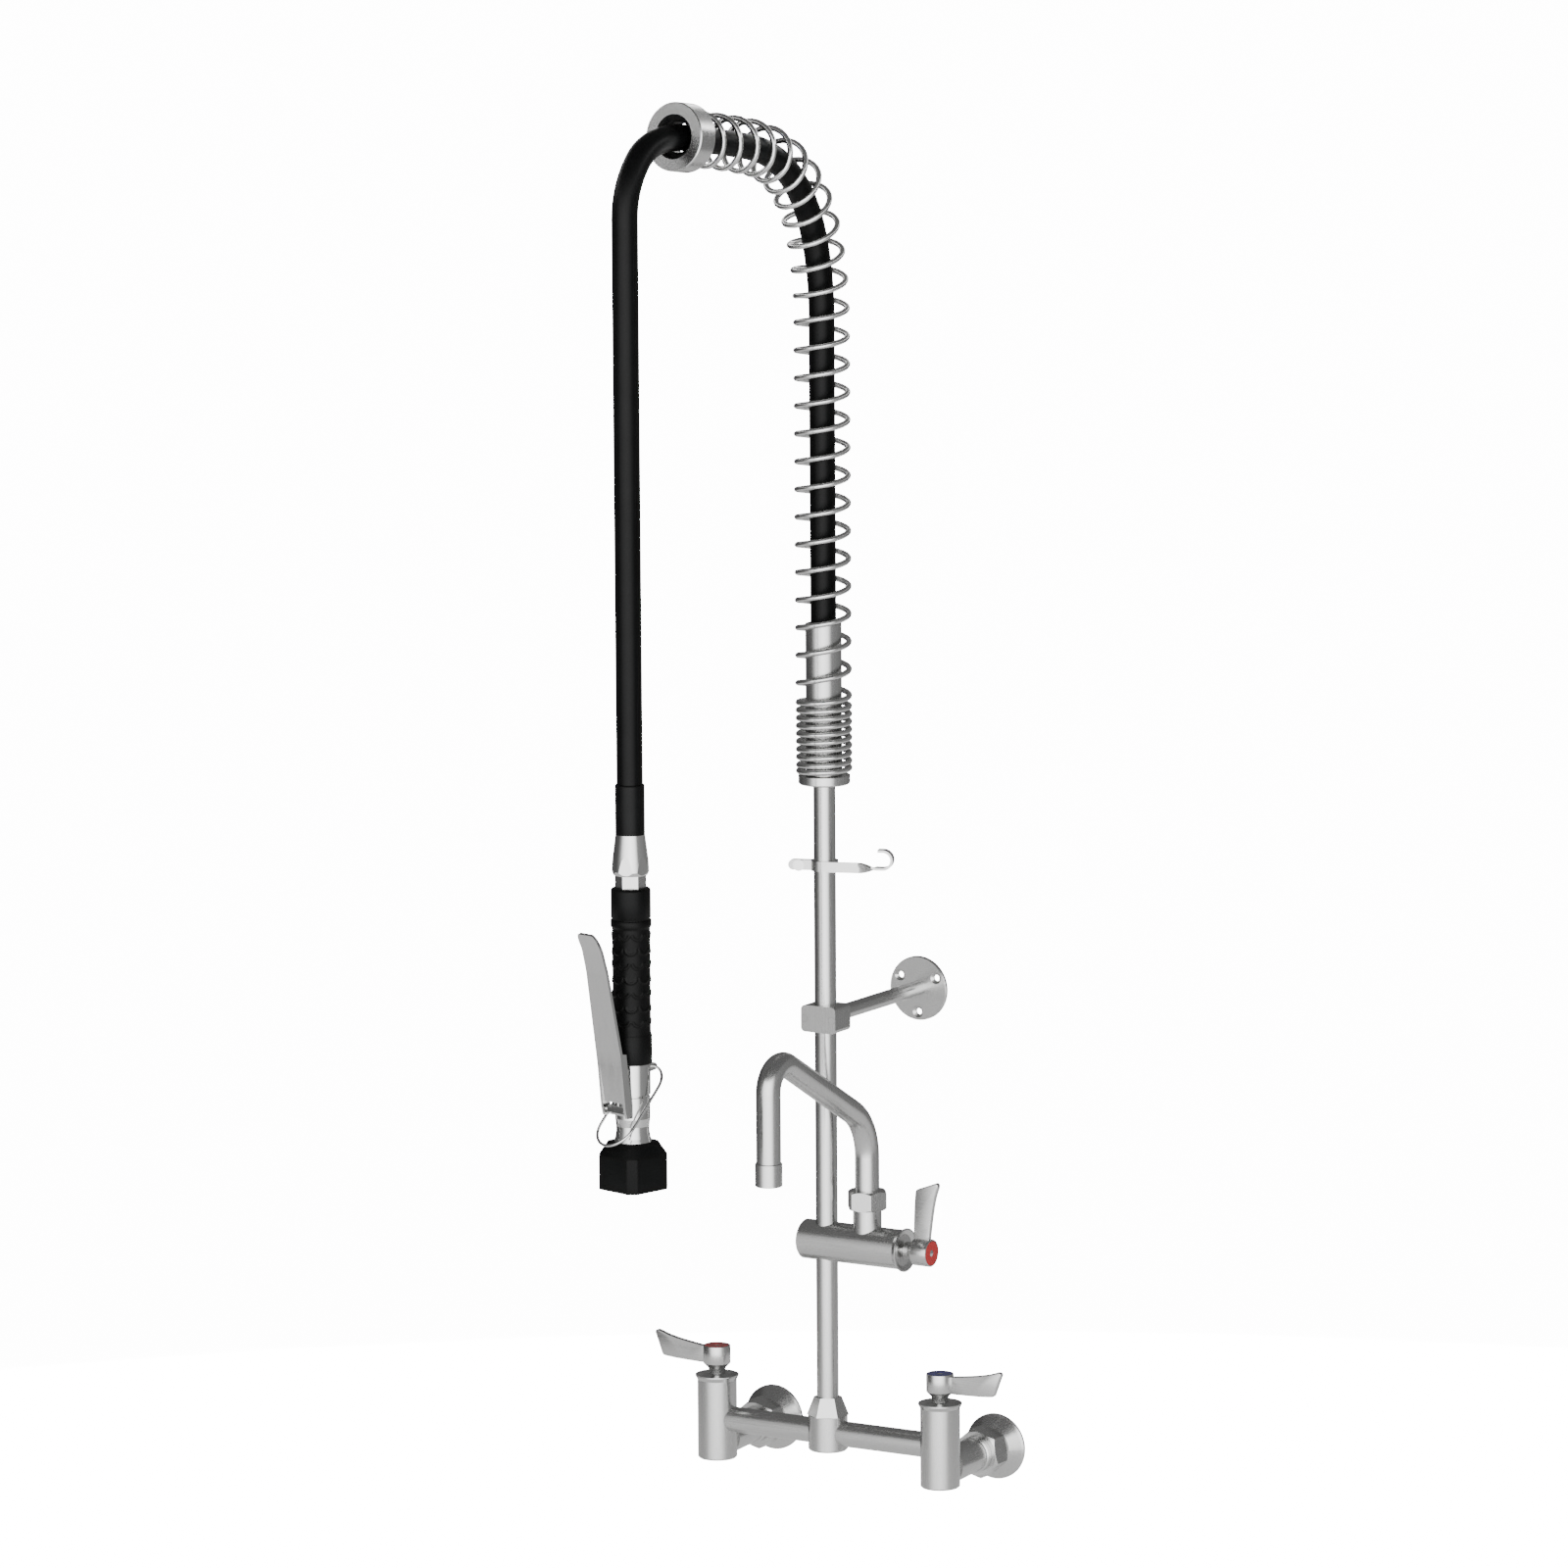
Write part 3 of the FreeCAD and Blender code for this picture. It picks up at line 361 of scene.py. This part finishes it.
# ------------------------------------------------------------------ the hose's line
# the route's points in the arch's own plane, in metres: (reach from the riser, height)
HOSE_ROUTE = [(0, 0.548), (0, 0.865), (0, 0.925), (0.018, 0.985), (0.060, 1.025), (0.125, 1.038),
              (0.214, 1.051), (REACH, 1.014), (REACH, 0.965), (REACH, 0.564)]
LINE_STEPS = 40


def hose_curve(name, bevel=0.0, sides=6):
    """The hose's own NURBS spline through its route's points."""
    curve = bpy.data.curves.new(name, "CURVE")
    curve.dimensions = "3D"
    curve.twist_mode = "MINIMUM"
    curve.resolution_u = LINE_STEPS
    curve.bevel_depth = bevel
    curve.bevel_resolution = sides
    curve.use_fill_caps = bevel > 0
    spline = curve.splines.new("NURBS")
    spline.points.add(len(HOSE_ROUTE) - 1)
    for point, (reach, height) in zip(spline.points, HOSE_ROUTE):
        point.co = (*(RISER + FORWARD * reach + UP * height), 1)
    spline.order_u = 3
    spline.use_endpoint_u = True
    return bpy.data.objects.new(name, curve)


def mesh_of_curve(holder):
    """The mesh that a curve object gives, without keeping the curve."""
    bpy.context.scene.collection.objects.link(holder)
    mesh = bpy.data.meshes.new_from_object(holder.evaluated_get(bpy.context.evaluated_depsgraph_get()))
    bpy.data.objects.remove(holder)
    return mesh


def hose_line():
    mesh = mesh_of_curve(hose_curve("hose_line"))
    points = [vertex.co.copy() for vertex in mesh.vertices]
    bpy.data.meshes.remove(mesh)
    if points[0].z > points[-1].z:
        points.reverse()
    return points


# ------------------------------------------------------------------ operators
class FAUCET_OT_stage(bpy.types.Operator):
    """Lay the floor and set the soft lights and the camera"""
    bl_idname = "faucet.stage"
    bl_label = "Stage"

    FLOOR_Z, MAT_Z, ROUND = -0.5, -0.49, 2.6

    def execute(self, context):
        scene = context.scene
        eye = Vector((3.8659, -6.4802, 1.7670))
        target = Vector((-0.0258, -0.1045, 0.5304))
        lens_mm, roll = 225.0, math.radians(0.37)
        camera = bpy.data.objects.new("camera", bpy.data.cameras.new("camera"))
        camera.data.lens = lens_mm
        camera.data.clip_end = 200
        look = (target - eye).to_track_quat("-Z", "Y").to_matrix().to_4x4()
        camera.matrix_world = Matrix.Translation(eye) @ look @ Matrix.Rotation(-roll, 4, "Z")
        scene.collection.objects.link(camera)
        scene.camera = camera

        self.floor(scene)
        self.mat(scene)
        self.curtain(scene)
        self.sky(scene)
        return {"FINISHED"}

    def screen(self, scene, name, bm, height, paint, hidden=True):
        """Stands one sheet of the stage at a height, lit by its own paint."""
        sheet = bpy.data.objects.new(name, mesh_of(name, bm, Matrix.Translation((0, 0, height))))
        scene.collection.objects.link(sheet)
        sheet.visible_camera = not hidden
        sheet.data.materials.append(paint)

    def glow(self, name, colour, roughness, strength):
        """A dull paint that gives off white light."""
        paint, tree, shader, source = material(name, colour, roughness)
        shader.inputs["Specular IOR Level"].default_value = 0.0
        shader.inputs["Emission Color"].default_value = (1, 1, 1, 1)
        shader.inputs["Emission Strength"].default_value = strength
        return paint, tree, shader, source

    def floor(self, scene):
        """A wide pale floor, bright enough to run into the sky."""
        bm = bmesh.new()
        bmesh.ops.create_grid(bm, x_segments=1, y_segments=1, size=60)
        paint, tree, shader, source = self.glow("floor_paint", (0.5, 0.5, 0.5), 0.9, 14.0)
        tinted(tree, shader, noise(tree, source, 3.0), (0.48, 0.48, 0.48), (0.52, 0.52, 0.52))
        self.screen(scene, "floor", bm, self.FLOOR_Z, paint, hidden=False)

    def mat(self, scene):
        """A round mat under the faucet that lights it from below, less than the floor would."""
        bm = bmesh.new()
        bmesh.ops.create_circle(bm, cap_ends=True, segments=64, radius=self.ROUND)
        paint = self.glow("mat_light", (0.4, 0.4, 0.4), 0.9, 0.6)[0]
        self.screen(scene, "mat", bm, self.MAT_Z, paint)

    def curtain(self, scene):
        """A soft curtain of light round the faucet: bright in front, grey to the right, dark behind."""
        tall = 2.2
        bm = bmesh.new()
        bmesh.ops.create_cone(bm, cap_ends=False, segments=64, radius1=self.ROUND, radius2=self.ROUND,
                              depth=tall)
        paint, tree, shader, source = self.glow("curtain_light", (0, 0, 0), 1.0, 4.6)
        gradient = tree.nodes.new("ShaderNodeTexGradient")
        gradient.gradient_type = "RADIAL"
        tree.links.new(source, gradient.inputs["Vector"])
        ramp = tree.nodes.new("ShaderNodeValToRGB")
        # share of a turn, and how bright the curtain is there
        stops = [(0.0, 0.02), (0.11, 0.03), (0.16, 0.10), (0.235, 0.75), (0.33, 1.0), (0.40, 0.75),
                 (0.46, 0.08), (0.75, 0.045), (0.85, 0.03), (1.0, 0.02)]
        while len(ramp.color_ramp.elements) < len(stops):
            ramp.color_ramp.elements.new(0.5)
        for element, (position, level) in zip(ramp.color_ramp.elements, stops):
            element.position = position
            element.color = (level, level, level, 1)
        tree.links.new(gradient.outputs["Fac"], ramp.inputs["Fac"])
        tree.links.new(ramp.outputs["Color"], shader.inputs["Emission Color"])
        self.screen(scene, "curtain", bm, self.MAT_Z + tall / 2, paint)

    def sky(self, scene):
        """A pale room: bright near the horizon and dim overhead."""
        world = bpy.data.worlds.new("room")
        scene.world = world
        world.use_nodes = True
        tree = world.node_tree
        background = tree.nodes["Background"]
        coordinates = tree.nodes.new("ShaderNodeTexCoord")
        split = tree.nodes.new("ShaderNodeSeparateXYZ")
        ramp = tree.nodes.new("ShaderNodeValToRGB")
        ramp.color_ramp.elements[0].position = 0.12
        ramp.color_ramp.elements[0].color = (1, 1, 1, 1)
        ramp.color_ramp.elements[1].position = 0.40
        ramp.color_ramp.elements[1].color = (0.012, 0.012, 0.012, 1)
        tree.links.new(coordinates.outputs["Generated"], split.inputs["Vector"])
        tree.links.new(split.outputs["Z"], ramp.inputs["Fac"])
        tree.links.new(ramp.outputs["Color"], background.inputs["Color"])
        background.inputs["Strength"].default_value = 14.0


class FAUCET_OT_hose(bpy.types.Operator):
    """Run the hose from the riser, through the spring and ring, down to the spray valve"""
    bl_idname = "faucet.hose"
    bl_label = "Hose"

    def execute(self, context):
        hose = settings("hose")
        line = hose_line()
        mesh = mesh_of_curve(hose_curve("hose_tube", hose.diameter / 2, 8))
        mesh.name = "hose_cover"
        cover = black_moulding("hose_cover", hose.colour, 0.36, 900.0, 0.00004)
        piece = new_piece("hose_cover", mesh, cover, None, "hose", 60.0)
        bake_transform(piece)
        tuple(line[0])
        return {"FINISHED"}


class FAUCET_OT_spring(bpy.types.Operator):
    """Wind the guide spring round the hose, close at its foot and open along the arch"""
    bl_idname = "faucet.spring"
    bl_label = "Spring"

    def execute(self, context):
        spring = settings("spring")
        outside = min(high("arch_spring").x - RISER.x, 22 * MM)
        radius = outside - spring.wire / 2
        line = hose_line()
        foot = low("spring_sleeve").z
        ring_back = self.ring_back()
        curve = bpy.data.curves.new("spring_line", "CURVE")
        curve.dimensions = "3D"
        curve.bevel_depth = spring.wire / 2
        curve.bevel_resolution = 3
        curve.use_fill_caps = True
        points = list(self.turns(line, foot, ring_back, radius, spring))
        spline = curve.splines.new("POLY")
        spline.points.add(len(points) - 1)
        for point, place in zip(spline.points, points):
            point.co = (*place, 1)
        mesh = mesh_of_curve(bpy.data.objects.new("spring_line", curve))
        mesh.name = "guide_spring"
        piece = new_piece("guide_spring", mesh, spring_wire(), None, "arch_spring", 60.0)
        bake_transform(piece)
        return {"FINISHED"}

    def ring_back(self):
        """How far along FORWARD the ring's back face lies."""
        lowest, highest = low("top_ring"), high("top_ring")
        corners = [Vector((x, y, 0)) - RISER for x in (lowest.x, highest.x) for y in (lowest.y, highest.y)]
        return min(corner.dot(FORWARD) for corner in corners) + 4 * MM

    def turns(self, line, foot, ring_back, radius, spring):
        """Points of the helix: right-handed, starting as a ground flat turn on the base collar."""
        across = FORWARD.cross(UP)
        place, along = RISER + UP * (foot + spring.wire / 2), UP.copy()
        inside_sleeve = 0.56
        route = [point for point in line if point.z > inside_sleeve]
        index, angle = 0, 0.0
        step = 2 * math.pi / 28
        while True:
            turns = angle / (2 * math.pi)
            pitch = self.pitch_at(turns, spring)
            outward = along.cross(across)
            yield place + across * radius * math.cos(angle) + outward * radius * math.sin(angle)
            travel = pitch * step / (2 * math.pi)
            if (place - RISER).dot(FORWARD) > ring_back:
                return
            while index < len(route) - 2 and (route[index] - place).dot(along) < travel + 3 * MM:
                index += 1
            along = (route[index] - place).normalized()
            place = place + along * travel
            angle += step

    def pitch_at(self, turns, spring):
        if turns < 1:
            return spring.wire
        ease = min(max(turns - spring.close_turns, 0), 1)
        return spring.close_pitch + (spring.open_pitch - spring.close_pitch) * ease * ease * (3 - 2 * ease)


class FAUCET_OT_handles(bpy.types.Operator):
    """Make the three lever handles with rounded blades"""
    bl_idname = "faucet.handles"
    bl_label = "Handles"

    def execute(self, context):
        steel = brushed_steel("handle_steel", "x")
        places = {}
        for side, towards in (("left", (-1, 0, 0)), ("right", (1, 0, 0))):
            disc = high("index_disc_" + side)
            centre_x = (disc.x + low("index_disc_" + side).x) / 2
            places[side] = frame_of((centre_x, RISER.y, disc.z), towards, UP)
        disc = high("index_disc_addon")
        centre_z = (disc.z + low("index_disc_addon").z) / 2
        places["addon"] = frame_of((disc.x, RISER.y, centre_z), UP, (1, 0, 0))
        bodies = {"left": "hot_handle", "right": "cold_handle", "addon": "addon_handle"}
        for side, place in places.items():
            new_piece("handle_%s_forged" % side, mesh_of("handle_" + side, self.handle(), place), steel,
                      bodies[side], "handle_" + side, 40.0)
        return {"FINISHED"}

    def handle(self):
        """Hub and blade about the stem axis, with the hub's top face at height 0."""
        handle = settings("handle")
        hub, neck, recess, edge = 10.75 * MM, 6.7 * MM, 9.65 * MM, handle.edge
        bore, screw_way, foot, recess_floor, seat = 4 * MM, 1.7 * MM, -23.3 * MM, -1.6 * MM, -9.9 * MM
        bm = spun(bmesh.new(), [
            (bore, foot), (neck - edge, foot), (neck, foot + edge),
            (neck, -18.6 * MM), (neck + 0.4 * MM, -17.9 * MM), (hub - 0.3 * MM, -14.6 * MM),
            (hub, -14.0 * MM), (hub, -edge), (hub - 0.3 * edge, -0.3 * edge), (hub - edge, 0),
            (recess, 0), (recess, recess_floor), (screw_way, recess_floor), (screw_way, seat),
            (bore, seat), (bore, foot)])
        # the blade's side view, in millimetres, clockwise from the hub's upper side
        outline = [(9.2, -1.5), (13, -1.2), (20, -0.3), (28, 0.8), (36, 2.1), (44, 3.8), (49, 5.4),
                   (52, 6.5), (54.2, 6.7), (55.5, 6.0), (55.9, 4.6), (53, -3.0), (50, -11.0),
                   (49.2, -12.6), (47.6, -13.5), (44, -13.9), (36, -14.5), (28, -14.8),
                   (18, -15.1), (9.2, -15.2)]
        blade = prism(bmesh.new(), [(x * MM, z * MM) for x, z in outline], handle.blade)
        soften(blade, edge * 1.4, 50.0)
        scratch = bpy.data.meshes.new("blade")
        blade.to_mesh(scratch)
        blade.free()
        bm.from_mesh(scratch)
        bpy.data.meshes.remove(scratch)
        return bm


class FAUCET_OT_grip(bpy.types.Operator):
    """Mould the spray valve's grip with its collars and raised crescents"""
    bl_idname = "faucet.grip"
    bl_label = "Grip"

    def execute(self, context):
        spray = settings("spray")
        foot, top = low("grip").z, high("grip").z
        collar, waist, step_ring, bore = 15.2 * MM, 14.4 * MM, 15.5 * MM, 9.0 * MM
        lower, upper = foot + 22.5 * MM, top - 29.5 * MM
        rings, margin = 110, 1.2 * MM
        middle = [(waist, lower + margin + (upper - lower - 2 * margin) * i / rings)
                  for i in range(rings + 1)]
        profile = ([(bore, foot), (collar - 1.2 * MM, foot), (collar - 0.3 * MM, foot + 0.3 * MM),
                    (collar, foot + 1.2 * MM), (collar, lower - 0.8 * MM), (collar - 0.3 * MM, lower)]
                   + middle
                   + [(step_ring - 0.3 * MM, upper), (step_ring, upper + 0.5 * MM),
                      (step_ring, upper + 4.9 * MM), (step_ring - 0.4 * MM, upper + 5.4 * MM),
                      (collar - 0.5 * MM, upper + 5.6 * MM), (collar - 0.5 * MM, upper + 6.4 * MM),
                      (collar - 0.1 * MM, upper + 7.0 * MM), (collar - 0.1 * MM, top - 2.0 * MM),
                      (collar - 0.5 * MM, top - 0.8 * MM), (collar - 1.7 * MM, top), (bore, top),
                      (bore, foot)])
        bm = spun(bmesh.new(), profile, 144)
        self.raise_crescents(bm, waist, lower, upper, spray.knurl)
        black = black_moulding("grip_moulding", spray.grip_colour, 0.42, 1500.0, 0.00006)
        new_piece("grip_moulding", mesh_of("grip_moulding", bm, SPRAY), black, "spray", "grip",
                  50.0)
        return {"FINISHED"}

    def raise_crescents(self, bm, waist, lower, upper, height):
        """Raises rows of crescents, each row turned by half a place."""
        around, pitch, bow, width = 8, 11.0 * MM, 4.6 * MM, 1.1 * MM
        sector = 2 * math.pi / around
        for vertex in bm.verts:
            radius = math.hypot(vertex.co.x, vertex.co.y)
            if not (lower + 2 * MM < vertex.co.z < upper - 2 * MM) or abs(radius - waist) > 1e-5:
                continue
            row = round((vertex.co.z - lower) / pitch)
            turn = math.atan2(vertex.co.y, vertex.co.x) + (row % 2) * sector / 2
            aside = ((turn + sector / 2) % sector - sector / 2) * waist
            above = vertex.co.z - lower - row * pitch
            reach = math.hypot(aside, above - 1.5 * MM)
            nearness = 1 - abs(reach - bow) / width
            if nearness > 0 and above < 1.0 * MM:
                lift = height * min(1.0, 2.2 * nearness)
                vertex.co.x *= (radius + lift) / radius
                vertex.co.y *= (radius + lift) / radius


class FAUCET_OT_guard(bpy.types.Operator):
    """Mould the square rubber guard round the spray face"""
    bl_idname = "faucet.guard"
    bl_label = "Guard"

    def execute(self, context):
        spray = settings("spray")
        foot, top = low("guard").z, high("guard").z
        half, corner, wall = 21.15 * MM, 5.8 * MM, 4.5 * MM
        inner_corner, shoulder = 4.0 * MM, top - 10.5 * MM
        bm = bmesh.new()
        # half side, height and corner of each loop, from the inside's top, down and round to the neck
        layers = [(half - wall, shoulder - 2.2 * MM, inner_corner), (half - wall, foot, inner_corner),
                  (half, foot, corner), (half, shoulder, corner), (half - 6.2 * MM, top, 3.3 * MM),
                  (14.5 * MM, top, 8.5 * MM)]
        loops = [self.chamfered_square(bm, *layer) for layer in layers]
        for before, after in zip(loops, loops[1:] + loops[:1]):
            bmesh.ops.bridge_loops(bm, edges=before + after)
        bmesh.ops.recalc_face_normals(bm, faces=bm.faces)
        outer = [edge for edge in bm.edges if edge.calc_face_angle(0) > math.radians(20)
                 and max(vert.co.z for vert in edge.verts) < top - 0.1 * MM]
        bmesh.ops.bevel(bm, geom=outer, offset=0.9 * MM, offset_type="OFFSET", affect="EDGES",
                        segments=3, profile=0.5, clamp_overlap=True, material=-1)
        black = black_moulding("guard_rubber", spray.guard_colour, 0.5, 1200.0, 0.00005)
        new_piece("guard_moulding", mesh_of("guard_moulding", bm, SPRAY), black, "spray", "guard",
                  50.0)
        return {"FINISHED"}

    def chamfered_square(self, bm, half, height, corner):
        """One closed loop of eight corners at a height."""
        verts = []
        for quarter in range(4):
            turn = Matrix.Rotation(quarter * math.pi / 2, 3, "Z")
            for y in (-half + corner, half - corner):
                verts.append(bm.verts.new(turn @ Vector((half, y, height))))
        return [bm.edges.new((verts[i], verts[(i + 1) % 8])) for i in range(8)]


class FAUCET_OT_lever(bpy.types.Operator):
    """Copy the squeeze lever, with its curled tip and its two flanks, as one merged piece"""
    bl_idname = "faucet.lever"
    bl_label = "Squeeze lever"

    def execute(self, context):
        new_piece("squeeze_lever_pressed", self.lever(), bright_metal("lever_metal"), "lever",
                  "squeeze_lever", 40.0)
        return {"FINISHED"}

    def lever(self):
        bm = merged_copy("squeeze_lever")
        bmesh.ops.dissolve_limit(bm, angle_limit=math.radians(1.0), verts=bm.verts, edges=bm.edges)
        mesh = bpy.data.meshes.new("squeeze_lever_pressed")
        bm.to_mesh(mesh)
        bm.free()
        return mesh


class FAUCET_OT_finishes(bpy.types.Operator):
    """Give every other part of the faucet its finish"""
    bl_idname = "faucet.finishes"
    bl_label = "Finishes"

    def execute(self, context):
        handle = settings("handle")
        upright = brushed_steel("steel_upright", "z")
        crosswise = brushed_steel("steel_crosswise", "x")
        wallwards = brushed_steel("steel_wallwards", "y")
        turned = brushed_steel("steel_turned", "")
        bright = bright_metal()
        brass = machined_brass()
        rubber = black_moulding("seal_rubber", (0.02, 0.02, 0.02), 0.6, 900.0, 0.00005)
        cuff = black_moulding("hose_cuff", (0.004, 0.004, 0.0042), 0.33, 900.0, 0.00004)
        face = black_moulding("spray_face", (0.03, 0.03, 0.03), 0.5, 900.0, 0.00005)
        red, blue = index_gloss("index_red", handle.hot), index_gloss("index_blue", handle.cold)
        finishes = {
            upright: ("valve_body_left", "valve_body_right", "tee", "riser_nut", "riser_lower",
                      "riser_upper", "bonnets", "stem_left", "stem_right", "spout_nut", "spout_tube",
                      "spout_tip", "clamp_front", "clamp_back", "spring_base", "spring_sleeve",
                      "inlet_neck"),
            crosswise: ("cross_bar_left", "cross_bar_right", "addon_body", "stem_addon", "finger_hook"),
            turned: ("bracket_plate", "inlet_flange_left", "inlet_flange_right", "top_ring"),
            wallwards: ("bracket_rod", "inlet_arm_left", "inlet_arm_right", "union_nuts"),
            bright: ("handle_screw_left", "handle_screw_right", "handle_screw_addon", "clamp_screws",
                     "hook_screw", "lever_pin", "hold_ring", "face_screw", "plunger",
                     "plunger_spring", "coupling_nut", "spray_body"),
            brass: ("cartridges", "hose_fitting", "grip_core"),
            rubber: ("spout_seal",),
            cuff: ("crimp_sleeve", "ring_liner"),
            face: ("spray_face",),
            red: ("index_disc_left", "index_disc_addon"),
            blue: ("index_disc_right",),
        }
        for finish, nodes in finishes.items():
            for node in nodes:
                for slot in NODES[node].material_slots:
                    slot.material = finish
        return {"FINISHED"}


class FAUCET_PT_parts(bpy.types.Panel):
    """The faucet's parts and their settings"""
    bl_label = "Pre-rinse faucet"
    bl_idname = "FAUCET_PT_parts"
    bl_space_type = "VIEW_3D"
    bl_region_type = "UI"
    bl_category = "Faucet"

    def draw(self, context):
        for name in SETTINGS:
            column = self.layout.column(heading=name.title())
            group = settings(name)
            for prop in group.bl_rna.properties:
                if prop.identifier not in ("rna_type", "name"):
                    column.prop(group, prop.identifier)
        for operator in OPERATORS:
            self.layout.operator(operator.bl_idname)


SETTINGS = {"hose": HoseSettings, "spring": SpringSettings, "metal": MetalSettings,
            "handle": HandleSettings, "spray": SpraySettings}
OPERATORS = (FAUCET_OT_stage, FAUCET_OT_hose, FAUCET_OT_spring, FAUCET_OT_handles, FAUCET_OT_grip,
             FAUCET_OT_guard, FAUCET_OT_lever, FAUCET_OT_finishes)


def register():
    for name, group in SETTINGS.items():
        bpy.utils.register_class(group)
        setattr(bpy.types.Scene, "faucet_" + name, bpy.props.PointerProperty(type=group))
    for item in (*OPERATORS, FAUCET_PT_parts):
        bpy.utils.register_class(item)


def unregister():
    for item in (FAUCET_PT_parts, *reversed(OPERATORS)):
        bpy.utils.unregister_class(item)
    for name, group in SETTINGS.items():
        delattr(bpy.types.Scene, "faucet_" + name)
        bpy.utils.unregister_class(group)


def main():
    register()
    bpy.ops.faucet.stage()
    bpy.ops.faucet.hose()
    bpy.ops.faucet.spring()
    bpy.ops.faucet.handles()
    bpy.ops.faucet.grip()
    bpy.ops.faucet.guard()
    bpy.ops.faucet.lever()
    bpy.ops.faucet.finishes()


if __name__ == "__main__":
    main()
